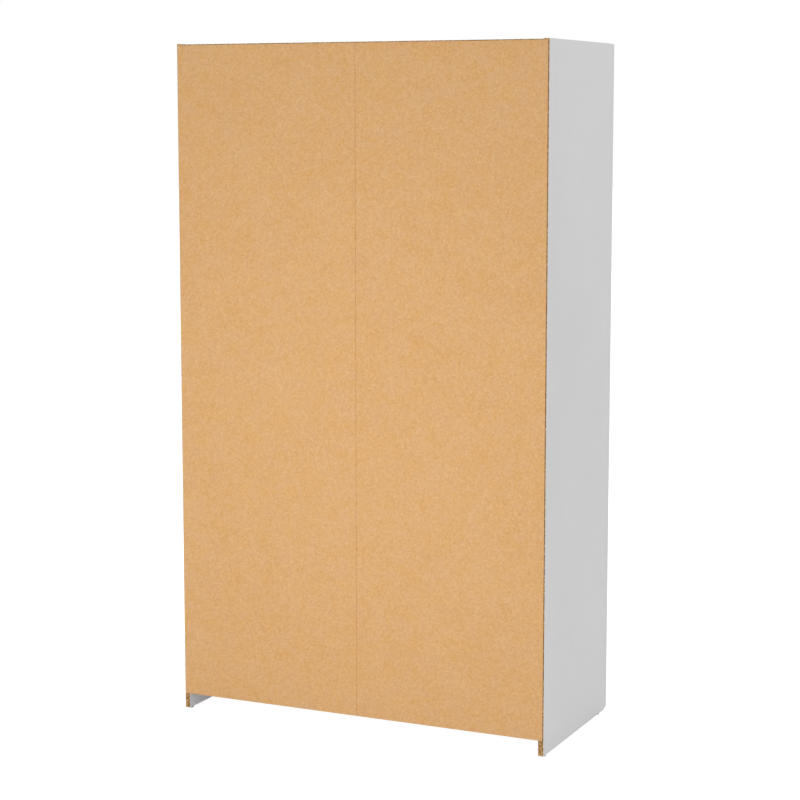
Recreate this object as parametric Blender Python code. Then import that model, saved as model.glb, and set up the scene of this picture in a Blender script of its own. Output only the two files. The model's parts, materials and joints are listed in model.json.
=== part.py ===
# Free-standing three-door wardrobe in melamine-faced board with a folding hardboard back.
# +Z is up, the doors face -Y, and the origin is on the floor under the middle of the whole object.
import math

import bmesh
import bpy
from mathutils import Matrix, Vector

# ---- driving dimensions, metres ----
WIDTH = 1.050               # over the two side panels
DEPTH = 0.480               # rear edges of the sides to the door fronts
SIDE_HEIGHT = 1.800
BOARD = 0.015
GLIDE_HEIGHT = 0.004
BACK_THICKNESS = 0.003      # hardboard and its fitting gap
BACK_INSET = 0.0025         # the back stops short of the outer faces by this much
BACK_FLOOR_GAP = 0.041      # side panel foot to the back's lower edge
SEAM = 0.001                # between the two halves of the back
HANDLE_PROJECTION = 0.028
FIT = 0.0003                # between touching pieces
DOOR_CLEARANCE = 0.002      # carcass front edge to the door's inner face
DOOR_SPACING = 0.003        # between neighbouring doors
DOOR_SIDE_INSET = 0.0005
DOOR_FLOOR_GAP = 0.003      # side panel foot to the door's lower edge
DOOR_TOP_GAP = 0.001
TOP_DROP = 0.0015           # the side panels stand proud of the top by this much
BOTTOM_LIFT = 0.001         # underside of the bottom panel above the back's lower edge
PLINTH_SETBACK = 0.010
EDGE_CHAMFER = 0.0004
DOOR_CHAMFER = 0.0008

SHELF_COUNT = 4
SHELF_SETBACK = 0.015
SHELF_REAR_GAP = 0.003
SHELF_SIDE_GAP = 0.0005
PIN_HOLE_RADIUS = 0.0026
PIN_HOLE_DEPTH = 0.010
PIN_HOLE_PITCH = 0.032
PIN_HOLE_INSET = 0.060      # of each hole row from the carcass's front and rear edges

RAIL_HEIGHT = 0.030
RAIL_THICKNESS = 0.015
RAIL_WALL = 0.0012
RAIL_DROP = 0.045           # hat shelf's underside to the rail's centre
SOCKET_PLATE = 0.003
SOCKET_REACH = 0.012
SOCKET_WALL = 0.0018
SOCKET_FLANGE = 0.008

GLIDE_RADIUS = 0.0065
GLIDE_REAR = 0.018          # glide centres in from the rear edge
GLIDE_FRONT = 0.040         # and from the front edge
TAPE_WIDTH = 0.040
TAPE_THICKNESS = 0.0005

HANDLE_SPAN = 0.128         # between the two posts
HANDLE_RADIUS = 0.005
HANDLE_BEND = 0.013
HANDLE_INSET = 0.040        # handle centre from the door's free edge
HANDLE_CENTRE_Z = 0.960
BUFFER_RADIUS = 0.004
BUFFER_INSET = 0.020        # buffer centre from the door's free edge

# Concealed hinges. p runs inwards from the outer face over the hinge, q forwards from the carcass front.
HINGE_HEIGHTS = {"lower": 0.130, "centre": 0.904, "upper": 1.700}
AXIS_FROM_EDGE = 0.006      # door's hinge edge to the turning axis
AXIS_FROM_INNER = 0.012     # door's inner face to the turning axis
CUP_FROM_EDGE = 0.022
CUP_BORE_RADIUS = 0.0175
CUP_BORE_DEPTH = 0.0115
CUP_RADIUS = 0.0172
CUP_DEPTH = 0.0112
CUP_HOLLOW_RADIUS = 0.0158
CUP_HOLLOW_DEPTH = 0.0106
CUP_RIM_RADIUS = 0.019
FLANGE_THICKNESS = 0.0008
WING_HALF_HEIGHT = 0.029
WING_WIDTH = 0.015
WING_OFFSET = 0.0075        # wing centre from the cup centre, away from the hinge edge
LINK_PIVOT = (0.0330, 0.0078)
LINK_TIP = (0.0104, 0.0076)
LINK_BULGE = (0.00075, 0.0070)
LINK_HALF_THICKNESS = 0.001
LINK_HALF_WIDTH = 0.0039
EYE_RADIUS = 0.0027
EYE_HOLE_RADIUS = 0.0016
LINK_PIN_RADIUS = 0.0013
ARM_HALF_WIDTH = 0.006
FORK_HALF_WIDTH = 0.0043
ARM_REAR = -0.062
ARM_NECK = -0.018           # q where the arm leaves its mounting plate
ARM_THROAT = (0.0235, -0.0045)
ARM_FORK_ROOT = 0.0035
ARM_HEEL_RISE = 0.0095      # outer side of the arm above its plate, at the rear and at the shoulder
ARM_SHOULDER_RISE = 0.0125
ARM_SHOULDER = (0.0255, -0.022)
ARM_NOSE = -0.004
ARM_REAR_CHAMFER = 0.003
PLATE_THICKNESS = 0.002
PLATE_SPINE = (-0.058, -0.016)
PLATE_SPINE_HALF_HEIGHT = 0.009
PLATE_WING = (-0.044, -0.030)
PLATE_WING_HALF_HEIGHT = 0.024
JOIN = 0.0006               # how far joined bodies reach into each other
STEP = 0.0002               # keeps the faces of joined bodies out of one plane
CUTTER_REACH = 0.010        # how far a cutter stands out of the face it cuts
GLIDE_ROUNDING = 0.0012

# ---- levels and planes that follow ----
HALF_WIDTH = WIDTH / 2
REAR_Y = (DEPTH + BACK_THICKNESS + HANDLE_PROJECTION) / 2
EDGE_Y = REAR_Y - BACK_THICKNESS
DOOR_FRONT_Y = EDGE_Y - DEPTH
DOOR_INNER_Y = DOOR_FRONT_Y + BOARD
FRONT_Y = DOOR_INNER_Y + DOOR_CLEARANCE
INNER_X = HALF_WIDTH - BOARD
SIDE_TOP = GLIDE_HEIGHT + SIDE_HEIGHT
TOP_UNDER = SIDE_TOP - TOP_DROP - BOARD
BACK_LOW = GLIDE_HEIGHT + BACK_FLOOR_GAP
BOTTOM_UNDER = BACK_LOW + BOTTOM_LIFT
FLOOR_Z = BOTTOM_UNDER + BOARD
THIRD = WIDTH / 3
PARTITION_X = THIRD / 2
PARTITION_LEFT = PARTITION_X - BOARD / 2
PARTITION_RIGHT = PARTITION_X + BOARD / 2
SHELF_SPACE = (TOP_UNDER - FLOOR_Z - SHELF_COUNT * BOARD) / (SHELF_COUNT + 1)
SHELF_LEVELS = [FLOOR_Z + SHELF_SPACE * (i + 1) + BOARD * i for i in range(SHELF_COUNT)]
HAT_SHELF_Z = SHELF_LEVELS[-1]
RAIL_Z = HAT_SHELF_Z - RAIL_DROP
RAIL_Y = (FRONT_Y + EDGE_Y) / 2
DOOR_LOW = GLIDE_HEIGHT + DOOR_FLOOR_GAP
DOOR_HIGH = SIDE_TOP - DOOR_TOP_GAP
AXIS_Y = DOOR_INNER_Y - AXIS_FROM_INNER


def clear_scene():
    for obj in list(bpy.data.objects):
        bpy.data.objects.remove(obj, do_unlink=True)


def material(name, colour, roughness, metallic=0.0):
    mat = bpy.data.materials.new(name)
    mat.use_nodes = True
    shader = mat.node_tree.nodes["Principled BSDF"]
    shader.inputs["Base Color"].default_value = (*colour, 1.0)
    shader.inputs["Roughness"].default_value = roughness
    shader.inputs["Metallic"].default_value = metallic
    return mat


def add_object(name, data, mat=None, location=(0, 0, 0), parent=None):
    """Link an object; its location is in world metres, whatever its parent."""
    obj = bpy.data.objects.new(name, data)
    if mat is not None and not data.materials:
        data.materials.append(mat)
    bpy.context.scene.collection.objects.link(obj)
    obj.location = location
    if parent is not None:
        obj.parent = parent
        obj.location = Vector(location) - parent.location
    return obj


def axis_empty(name, location):
    empty = add_object(name, None, location=location)
    empty.empty_display_size = 0.05
    return empty


def finish_mesh(bm, name):
    bmesh.ops.recalc_face_normals(bm, faces=bm.faces)
    mesh = bpy.data.meshes.new(name)
    bm.to_mesh(mesh)
    bm.free()
    return mesh


def block_mesh(name, size, chamfer=0.0):
    """A box round its own centre, with a small chamfer on every edge."""
    bm = bmesh.new()
    bmesh.ops.create_cube(bm, size=1.0)
    bmesh.ops.scale(bm, vec=size, verts=bm.verts)
    if chamfer:
        bmesh.ops.bevel(
            bm, geom=bm.edges[:], offset=chamfer, segments=1, profile=0.5, affect="EDGES", material=-1
        )
    return finish_mesh(bm, name)


def board(name, low, high, mat, parent=None, chamfer=EDGE_CHAMFER):
    low = Vector(low)
    high = Vector(high)
    mesh = block_mesh(name, high - low, chamfer)
    return add_object(name, mesh, mat, (low + high) / 2, parent)


def prism_mesh(name, outline, low, high):
    """An outline in X and Y, extruded from low to high along Z."""
    bm = bmesh.new()
    face = bm.faces.new([bm.verts.new((x, y, low)) for x, y in outline])
    grown = bmesh.ops.extrude_face_region(bm, geom=[face], use_keep_orig=True)
    top = [v for v in grown["geom"] if isinstance(v, bmesh.types.BMVert)]
    bmesh.ops.translate(bm, verts=top, vec=(0, 0, high - low))
    return finish_mesh(bm, name)


def arc(centre, radius, start, end, steps):
    """Points round part of a circle, angles in degrees."""
    points = []
    for i in range(steps + 1):
        angle = math.radians(start + (end - start) * i / steps)
        points.append((centre[0] + radius * math.cos(angle), centre[1] + radius * math.sin(angle)))
    return points


def circle(centre, radius, steps):
    return arc(centre, radius, 0, 360, steps)[:-1]


def rectangle(first, second):
    """The four corners between two ranges."""
    return [(first[0], second[0]), (first[0], second[1]), (first[1], second[1]), (first[1], second[0])]


def stadium(half_width, half_height, steps=8):
    """A slot outline, taller than wide, with round ends."""
    straight = half_height - half_width
    return arc((0, straight), half_width, 0, 180, steps) + arc((0, -straight), half_width, 180, 360, steps)


def helper(name, mesh, location=(0, 0, 0), parent=None):
    """A body that only cuts or joins another, left out of the built parts."""
    obj = add_object(name, mesh, None, location, parent)
    obj.hide_render = True
    obj.display_type = "WIRE"
    return obj


def combine(target, other, operation):
    mod = target.modifiers.new(other.name, "BOOLEAN")
    mod.operation = operation
    mod.solver = "EXACT"
    mod.object = other


def baked_mesh(target, helpers):
    """The target's mesh with its modifiers applied; the target and its helpers are removed."""
    bpy.context.view_layer.update()
    evaluated = target.evaluated_get(bpy.context.evaluated_depsgraph_get())
    mesh = bpy.data.meshes.new_from_object(evaluated)
    for obj in [target, *helpers]:
        bpy.data.objects.remove(obj, do_unlink=True)
    return mesh


def smooth(mesh, angle=35):
    mesh.shade_smooth()
    mesh.set_sharp_from_angle(angle=math.radians(angle))


# ---- carcass ----

def make_pin_holes(panel, face_x):
    """Two rows of blind holes for the shelf pins, three at each shelf, bored from the face at face_x."""
    bm = bmesh.new()
    for shelf_z in SHELF_LEVELS:
        for step in (-1, 0, 1):
            z = shelf_z - PIN_HOLE_RADIUS + step * PIN_HOLE_PITCH
            for y in (FRONT_Y + PIN_HOLE_INSET, EDGE_Y - PIN_HOLE_INSET):
                place = Matrix.Translation((face_x, y, z)) @ Matrix.Rotation(math.radians(90), 4, "Y")
                bmesh.ops.create_cone(
                    bm, cap_ends=True, segments=8, radius1=PIN_HOLE_RADIUS, radius2=PIN_HOLE_RADIUS,
                    depth=PIN_HOLE_DEPTH * 2, matrix=place,
                )
    cutter = helper(panel.name + "_pin_holes", finish_mesh(bm, panel.name + "_pin_holes"))
    combine(panel, cutter, "DIFFERENCE")


def make_carcass(white):
    z = (GLIDE_HEIGHT, SIDE_TOP)
    board("side_left", (-HALF_WIDTH, FRONT_Y, z[0]), (-INNER_X, EDGE_Y, z[1]), white)
    side_right = board("side_right", (INNER_X, FRONT_Y, z[0]), (HALF_WIDTH, EDGE_Y, z[1]), white)
    make_pin_holes(side_right, INNER_X)
    across = INNER_X - FIT
    board("top_panel", (-across, FRONT_Y, TOP_UNDER), (across, EDGE_Y, TOP_UNDER + BOARD), white)
    board("bottom_panel", (-across, FRONT_Y, BOTTOM_UNDER), (across, EDGE_Y, FLOOR_Z), white)
    plinth_y = FRONT_Y + PLINTH_SETBACK
    board("plinth", (-across, plinth_y, GLIDE_HEIGHT), (across, plinth_y + BOARD, BOTTOM_UNDER - FIT), white)
    partition = board(
        "partition", (PARTITION_LEFT, FRONT_Y, FLOOR_Z + FIT), (PARTITION_RIGHT, EDGE_Y, TOP_UNDER - FIT), white
    )
    make_pin_holes(partition, PARTITION_RIGHT)


def make_back(hardboard, tape):
    outer = HALF_WIDTH - BACK_INSET
    top = TOP_UNDER + BOARD - BACK_INSET
    inner_y = EDGE_Y + FIT
    seam = SEAM / 2
    board("back_left", (-outer, inner_y, BACK_LOW), (-seam, REAR_Y, top), hardboard)
    board("back_right", (seam, inner_y, BACK_LOW), (outer, REAR_Y, top), hardboard)
    tape_low = (-TAPE_WIDTH / 2, EDGE_Y - TAPE_THICKNESS, FLOOR_Z + FIT)
    tape_high = (TAPE_WIDTH / 2, EDGE_Y, TOP_UNDER - FIT)
    board("back_fold_tape", tape_low, tape_high, tape, chamfer=0.0)


def make_shelves(white):
    y = (FRONT_Y + SHELF_SETBACK, EDGE_Y - SHELF_REAR_GAP)
    hat_x = (-INNER_X + SHELF_SIDE_GAP, PARTITION_LEFT - SHELF_SIDE_GAP)
    board("hat_shelf", (hat_x[0], y[0], HAT_SHELF_Z), (hat_x[1], y[1], HAT_SHELF_Z + BOARD), white)
    x = (PARTITION_RIGHT + SHELF_SIDE_GAP, INNER_X - SHELF_SIDE_GAP)
    for i, z in enumerate(SHELF_LEVELS):
        board(f"shelf_{i + 1}", (x[0], y[0], z), (x[1], y[1], z + BOARD), white)


def make_glides(plastic):
    bm = bmesh.new()
    height = GLIDE_HEIGHT - FIT
    bmesh.ops.create_cone(
        bm, cap_ends=True, segments=20, radius1=GLIDE_RADIUS, radius2=GLIDE_RADIUS, depth=height
    )
    rim = [e for e in bm.edges if all(v.co.z < 0 for v in e.verts)]
    bmesh.ops.bevel(bm, geom=rim, offset=GLIDE_ROUNDING, segments=2, profile=0.5, affect="EDGES", material=-1)
    bmesh.ops.translate(bm, verts=bm.verts, vec=(0, 0, height / 2))
    mesh = finish_mesh(bm, "glide")
    smooth(mesh)
    for side, x in (("left", -1), ("right", 1)):
        for place, y in (("front", FRONT_Y + GLIDE_FRONT), ("rear", EDGE_Y - GLIDE_REAR)):
            add_object(f"glide_{side}_{place}", mesh, plastic, (x * (HALF_WIDTH - BOARD / 2), y, 0))


# ---- hanging rail ----

def tube_mesh(name, outer, inner, length):
    """A tube along +X from the origin, open at both ends."""
    bm = bmesh.new()
    rings = []
    for outline in (outer, inner):
        verts = [bm.verts.new((0, y, z)) for y, z in outline]
        rings += [bm.edges.new((verts[i - 1], verts[i])) for i in range(len(verts))]
    strip = bmesh.ops.bridge_loops(bm, edges=rings)["faces"]
    grown = bmesh.ops.extrude_face_region(bm, geom=strip, use_keep_orig=True)
    far = [v for v in grown["geom"] if isinstance(v, bmesh.types.BMVert)]
    bmesh.ops.translate(bm, verts=far, vec=(length, 0, 0))
    return finish_mesh(bm, name)


def make_rail(steel, zinc):
    half_width = RAIL_THICKNESS / 2
    half_height = RAIL_HEIGHT / 2
    start = -INNER_X + FIT + SOCKET_PLATE + FIT
    end = PARTITION_LEFT - FIT - SOCKET_PLATE - FIT
    inner = stadium(half_width - RAIL_WALL, half_height - RAIL_WALL)
    rail = tube_mesh("hanging_rail", stadium(half_width, half_height), inner, end - start)
    smooth(rail)
    add_object("hanging_rail", rail, steel, (start, RAIL_Y, RAIL_Z))

    hollow = stadium(half_width + FIT, half_height + FIT)
    collar = stadium(half_width + SOCKET_WALL, half_height + SOCKET_WALL)
    flange = stadium(half_width + SOCKET_FLANGE, half_height + SOCKET_FLANGE)
    for side, face_x, way in (("left", -INNER_X + FIT, 1), ("right", PARTITION_LEFT - FIT, -1)):
        name = f"rail_socket_{side}"
        ring = tube_mesh(name, collar, hollow, SOCKET_PLATE + SOCKET_REACH)
        plate = prism_mesh(name + "_plate", flange, 0.0, SOCKET_PLATE)
        plate.transform(Matrix(((0, 0, 1), (1, 0, 0), (0, 1, 0))).to_4x4())
        whole = add_object(name, ring, zinc)
        disc = helper(name + "_plate", plate)
        combine(whole, disc, "UNION")
        mesh = baked_mesh(whole, [disc])
        mesh.name = name
        smooth(mesh)
        socket = add_object(name, mesh, zinc, (face_x, RAIL_Y, RAIL_Z))
        socket.rotation_euler.z = 0.0 if way == 1 else math.pi


# ---- concealed hinges: way is +1 where p runs towards +X, and -1 where it runs towards -X ----

def flat(points, way):
    """(p, q) points as (x, y) about the place where p and q are zero."""
    return [(way * p, -q) for p, q in points]


def arm_mesh(name, way, panel_p):
    """Mounting plate, arm and forked end with the link's pin, on a panel face at p = panel_p."""
    base = panel_p + FIT
    top = base + PLATE_THICKNESS
    tip_p, tip_q = LINK_PIVOT
    foot = top - JOIN
    heel = top + ARM_HEEL_RISE
    outline = [(foot, ARM_REAR), (foot, ARM_NECK), ARM_THROAT, (tip_p - EYE_RADIUS, ARM_FORK_ROOT)]
    outline += arc(LINK_PIVOT, EYE_RADIUS, 180, 0, 6)
    outline += [(tip_p + EYE_RADIUS, ARM_NOSE)]
    outline += [(max(top + ARM_SHOULDER_RISE, ARM_SHOULDER[0]), ARM_SHOULDER[1])]
    outline += [(heel, ARM_REAR + ARM_REAR_CHAMFER), (heel - ARM_REAR_CHAMFER, ARM_REAR)]
    arm = add_object(name, prism_mesh(name, flat(outline, way), -ARM_HALF_WIDTH, ARM_HALF_WIDTH))
    slot_low = tip_q - EYE_RADIUS - 2 * FIT
    slot_p = (tip_p - CUTTER_REACH, tip_p + CUTTER_REACH)
    slot = rectangle(slot_p, (slot_low, tip_q + CUTTER_REACH))
    pin_outline = circle(LINK_PIVOT, LINK_PIN_RADIUS, 10)
    spine = rectangle((base, top), PLATE_SPINE)
    wing = rectangle((base, top - STEP), PLATE_WING)
    steps = (
        ("slot", slot, FORK_HALF_WIDTH, "DIFFERENCE"),
        ("pin", pin_outline, FORK_HALF_WIDTH + JOIN, "UNION"),
        ("spine", spine, PLATE_SPINE_HALF_HEIGHT, "UNION"),
        ("wing", wing, PLATE_WING_HALF_HEIGHT, "UNION"),
    )
    helpers = []
    for label, shape, half_height, operation in steps:
        other = helper(f"{name}_{label}", prism_mesh(label, flat(shape, way), -half_height, half_height))
        combine(arm, other, operation)
        helpers.append(other)
    mesh = baked_mesh(arm, helpers)
    smooth(mesh)
    return mesh


def link_mesh(name, way):
    """A goose-necked strap from its eye on the arm's pin to a tip inside the cup, about the pin's axis."""
    pivot = Vector(LINK_PIVOT)
    tip = Vector(LINK_TIP)
    span = tip - pivot
    rise = Vector((-span.y, span.x)).normalized()
    if rise.y < 0:
        rise = -rise
    pulls = (pivot, pivot + span / 3 + rise * LINK_BULGE[0], pivot + span * 2 / 3 + rise * LINK_BULGE[1], tip)
    steps = 10
    upper = []
    lower = []
    for i in range(1, steps + 1):
        t = i / steps
        s = 1 - t
        place = s**3 * pulls[0] + 3 * s * s * t * pulls[1] + 3 * s * t * t * pulls[2] + t**3 * pulls[3]
        along = s * s * (pulls[1] - pulls[0]) + 2 * s * t * (pulls[2] - pulls[1]) + t * t * (pulls[3] - pulls[2])
        across = Vector((-along.y, along.x)).normalized() * LINK_HALF_THICKNESS
        upper.append(place + across - pivot)
        lower.append(place - across - pivot)
    outline = [tuple(v) for v in upper + lower[::-1]]
    strap = add_object(name, prism_mesh(name, flat(outline, way), -LINK_HALF_WIDTH, LINK_HALF_WIDTH))
    eye_outline = flat(circle((0, 0), EYE_RADIUS, 14), way)
    eye = helper(name + "_eye", prism_mesh("eye", eye_outline, -LINK_HALF_WIDTH, LINK_HALF_WIDTH))
    combine(strap, eye, "UNION")
    hole_reach = LINK_HALF_WIDTH + CUTTER_REACH
    hole_outline = flat(circle((0, 0), EYE_HOLE_RADIUS, 12), way)
    hole = helper(name + "_hole", prism_mesh("hole", hole_outline, -hole_reach, hole_reach))
    combine(strap, hole, "DIFFERENCE")
    mesh = baked_mesh(strap, [eye, hole])
    smooth(mesh)
    return mesh


def upright_disc(name, radius, start_y, end_y, steps):
    """A cylinder along Y between two depths."""
    mesh = prism_mesh(name, circle((0, 0), radius, steps), start_y, end_y)
    mesh.transform(Matrix.Rotation(math.radians(-90), 4, "X"))
    return mesh


def cup_mesh(name, way):
    """Cup, rim and screw wings about the cup's centre on the door's inner face, hollow towards +Y."""
    face = FIT + FLANGE_THICKNESS
    cup = add_object(name, upright_disc(name, CUP_RADIUS, -CUP_DEPTH, face - STEP, 28))
    rim = helper(name + "_rim", upright_disc("rim", CUP_RIM_RADIUS, FIT, face, 28))
    combine(cup, rim, "UNION")
    wing_size = (WING_WIDTH, FLANGE_THICKNESS - STEP, WING_HALF_HEIGHT * 2)
    wing_place = (way * WING_OFFSET, FIT + FLANGE_THICKNESS / 2, 0)
    wing = helper(name + "_wing", block_mesh("wing", wing_size), wing_place)
    combine(cup, wing, "UNION")
    hollow_mesh = upright_disc("hollow", CUP_HOLLOW_RADIUS, -CUP_HOLLOW_DEPTH, CUTTER_REACH, 24)
    hollow = helper(name + "_hollow", hollow_mesh)
    combine(cup, hollow, "DIFFERENCE")
    mesh = baked_mesh(cup, [rim, wing, hollow])
    smooth(mesh)
    return mesh


# ---- doors ----

def make_buffers(name, buffer_x, plastic, axis):
    """Two soft discs on the door's inner face, which meet the front edges of the top and bottom panels."""
    disc = upright_disc(f"buffer_{name}", BUFFER_RADIUS, FIT, DOOR_CLEARANCE - FIT, 16)
    smooth(disc)
    for height, z in (("lower", BOTTOM_UNDER + BOARD / 2), ("upper", TOP_UNDER + BOARD / 2)):
        add_object(f"buffer_{name}_{height}", disc, plastic, (buffer_x, DOOR_INNER_Y, z), axis)


def handle_curve(name):
    """A round bow handle standing along Z, its two posts reaching back to the door face at Y = 0."""
    half = HANDLE_SPAN / 2
    reach = HANDLE_PROJECTION - HANDLE_RADIUS
    bend = HANDLE_BEND
    low = arc((-(reach - bend), -(half - bend)), bend, 270, 180, 5)
    high = arc((-(reach - bend), half - bend), bend, 180, 90, 5)
    points = [(-FIT, -half), *low, *high, (-FIT, half)]
    curve = bpy.data.curves.new(name, "CURVE")
    curve.dimensions = "3D"
    curve.bevel_depth = HANDLE_RADIUS
    curve.bevel_resolution = 4
    curve.use_fill_caps = True
    spline = curve.splines.new("POLY")
    spline.points.add(len(points) - 1)
    for point, (y, z) in zip(spline.points, points):
        point.co = (0, y, z, 1)
        point.radius = 1.0
    return curve


def make_door(name, edge_x, free_x, panel_x, finishes):
    """A door from its hinge edge to its free edge, with its handle, buffers, cups, arms and links."""
    way = 1 if free_x > edge_x else -1
    axis = axis_empty(f"axis_{name}", (edge_x + way * AXIS_FROM_EDGE, AXIS_Y, 0))
    low_x, high_x = sorted((edge_x, free_x))
    low = (low_x, DOOR_FRONT_Y, DOOR_LOW)
    high = (high_x, DOOR_INNER_Y, DOOR_HIGH)
    door = board(f"door_{name}", low, high, finishes["white"], axis, DOOR_CHAMFER)
    cup_x = edge_x + way * CUP_FROM_EDGE

    handle_x = free_x - way * HANDLE_INSET
    handle_place = (handle_x, DOOR_FRONT_Y, HANDLE_CENTRE_Z)
    add_object(f"handle_{name}", handle_curve(f"handle_{name}"), finishes["satin"], handle_place, axis)

    make_buffers(name, free_x - way * BUFFER_INSET, finishes["buffer"], axis)

    zero_x = edge_x - way * DOOR_SIDE_INSET
    pivot_place = (zero_x + way * LINK_PIVOT[0], FRONT_Y - LINK_PIVOT[1], 0)
    link_axis = axis_empty(f"axis_links_{name}", pivot_place)
    arm = arm_mesh(f"arm_{name}", way, abs(panel_x - zero_x))
    link = link_mesh(f"link_{name}", way)
    cup = cup_mesh(f"cup_{name}", way)
    for height, z in HINGE_HEIGHTS.items():
        label = f"hinge_{name}_{height}"
        add_object(f"{label}_arm", arm, finishes["zinc"], (zero_x, FRONT_Y, z))
        link_place = (link_axis.location.x, link_axis.location.y, z)
        add_object(f"{label}_link", link, finishes["zinc"], link_place, link_axis)
        add_object(f"{label}_cup", cup, finishes["zinc"], (cup_x, DOOR_INNER_Y, z), axis)
        bore_mesh = upright_disc("bore", CUP_BORE_RADIUS, -CUP_BORE_DEPTH, CUTTER_REACH, 28)
        bore = helper(f"{label}_bore", bore_mesh, (cup_x, DOOR_INNER_Y, z), axis)
        combine(door, bore, "DIFFERENCE")


def main():
    clear_scene()
    finishes = {
        "white": material("white_melamine", (0.84, 0.84, 0.83), 0.42),
        "hardboard": material("raw_hardboard", (0.70, 0.41, 0.19), 0.72),
        "tape": material("white_fold_tape", (0.80, 0.80, 0.78), 0.55),
        "satin": material("satin_handle", (0.62, 0.62, 0.61), 0.32, 1.0),
        "zinc": material("nickel_plated_steel", (0.60, 0.59, 0.57), 0.28, 1.0),
        "plastic": material("grey_plastic", (0.10, 0.10, 0.10), 0.50),
        "buffer": material("clear_buffer", (0.75, 0.76, 0.76), 0.35),
    }
    make_carcass(finishes["white"])
    make_back(finishes["hardboard"], finishes["tape"])
    make_shelves(finishes["white"])
    make_glides(finishes["plastic"])
    make_rail(finishes["satin"], finishes["zinc"])
    outer = HALF_WIDTH - DOOR_SIDE_INSET
    gap = DOOR_SPACING / 2
    make_door("left", -outer, -THIRD / 2 - gap, -INNER_X, finishes)
    make_door("middle", THIRD / 2 - gap, -THIRD / 2 + gap, PARTITION_LEFT, finishes)
    make_door("right", outer, THIRD / 2 + gap, INNER_X, finishes)


main()
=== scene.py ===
# Looks of the three-door wardrobe: finishes, the small fittings on its boards, light and camera.
# Metres, +Z up, doors facing -Y, origin on the floor under the middle of the cabinet.
import json
import math

import bmesh
import bpy
from mathutils import Matrix, Vector

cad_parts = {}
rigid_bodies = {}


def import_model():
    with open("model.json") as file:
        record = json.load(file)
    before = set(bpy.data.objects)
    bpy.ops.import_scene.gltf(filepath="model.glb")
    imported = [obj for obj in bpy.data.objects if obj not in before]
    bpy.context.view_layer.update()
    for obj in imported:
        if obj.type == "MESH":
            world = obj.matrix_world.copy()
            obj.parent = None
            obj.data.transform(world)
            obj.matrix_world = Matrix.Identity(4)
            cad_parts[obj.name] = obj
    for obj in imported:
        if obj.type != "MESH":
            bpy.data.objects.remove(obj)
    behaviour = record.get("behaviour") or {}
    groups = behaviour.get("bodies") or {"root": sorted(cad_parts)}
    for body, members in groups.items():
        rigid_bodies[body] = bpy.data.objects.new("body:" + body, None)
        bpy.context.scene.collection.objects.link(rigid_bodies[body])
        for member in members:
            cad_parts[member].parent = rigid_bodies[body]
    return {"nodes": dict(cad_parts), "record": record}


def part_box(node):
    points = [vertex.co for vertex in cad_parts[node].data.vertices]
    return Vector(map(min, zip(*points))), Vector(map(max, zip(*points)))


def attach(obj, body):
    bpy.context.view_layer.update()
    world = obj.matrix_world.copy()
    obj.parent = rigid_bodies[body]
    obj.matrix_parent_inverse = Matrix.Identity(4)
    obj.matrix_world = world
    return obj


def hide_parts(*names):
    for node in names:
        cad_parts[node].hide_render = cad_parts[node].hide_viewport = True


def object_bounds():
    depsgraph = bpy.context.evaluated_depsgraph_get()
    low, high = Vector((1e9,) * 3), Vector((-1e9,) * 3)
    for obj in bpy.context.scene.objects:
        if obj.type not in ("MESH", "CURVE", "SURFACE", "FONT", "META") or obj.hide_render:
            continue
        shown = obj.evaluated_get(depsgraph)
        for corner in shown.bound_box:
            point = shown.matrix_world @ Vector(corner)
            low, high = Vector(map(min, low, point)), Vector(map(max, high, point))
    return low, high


for old in list(bpy.data.objects):
    bpy.data.objects.remove(old, do_unlink=True)
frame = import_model()
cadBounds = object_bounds()
nodes = frame["nodes"]
behaviour = frame["record"]["behaviour"]
bodyOf = {node: body for body, members in behaviour["bodies"].items() for node in members}
slotOf = {part["node"]: part["material_slot"] for part in frame["record"]["subparts"]}
doorNames = ("left", "middle", "right")
hingeHeights = ("lower", "centre", "upper")
print("frame loaded,", len(nodes), "nodes")


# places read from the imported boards
def lowOf(node):
    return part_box(node)[0]


def highOf(node):
    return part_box(node)[1]


rearY = highOf("side_left").y          # rear edges of the boards
frontY = lowOf("side_left").y
backFaceY = highOf("back_left").y
doorInnerY = highOf("door_left").y
innerX = lowOf("side_right").x
partitionLeft = lowOf("partition").x
partitionRight = highOf("partition").x
footZ = lowOf("side_left").z
floorPanelTop = highOf("bottom_panel").z
topUnder = lowOf("top_panel").z
boardMiddleZ = (lowOf("side_left").z + highOf("side_left").z) / 2


# node helpers
def addNode(tree, kind, inputs=None, **settings):
    node = tree.nodes.new(kind)
    for name, value in settings.items():
        setattr(node, name, value)
    for name, value in (inputs or {}).items():
        if isinstance(value, bpy.types.NodeSocket):
            tree.links.new(value, node.inputs[name])
        else:
            node.inputs[name].default_value = value
    return node


def calc(tree, operation, first, second=0.0, clamp=False):
    node = addNode(tree, "ShaderNodeMath", {0: first, 1: second}, operation=operation, use_clamp=clamp)
    return node.outputs[0]


def awayFrom(tree, value, centre):
    return calc(tree, "ABSOLUTE", calc(tree, "SUBTRACT", value, centre))


def remap(tree, value, low, high, newLow=0.0, newHigh=1.0):
    inputs = {"Value": value, "From Min": low, "From Max": high, "To Min": newLow, "To Max": newHigh}
    return addNode(tree, "ShaderNodeMapRange", inputs).outputs[0]


def mixed(tree, mask, first, second, mode="MIX"):
    node = addNode(tree, "ShaderNodeMix", {0: mask, 6: first, 7: second}, data_type="RGBA", blend_type=mode)
    return node.outputs[2]


def noise(tree, place, scale, detail=2.0, rough=0.5, twist=0.0):
    inputs = {"Vector": place, "Scale": scale, "Detail": detail, "Roughness": rough, "Distortion": twist}
    return addNode(tree, "ShaderNodeTexNoise", inputs).outputs["Fac"]


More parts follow.
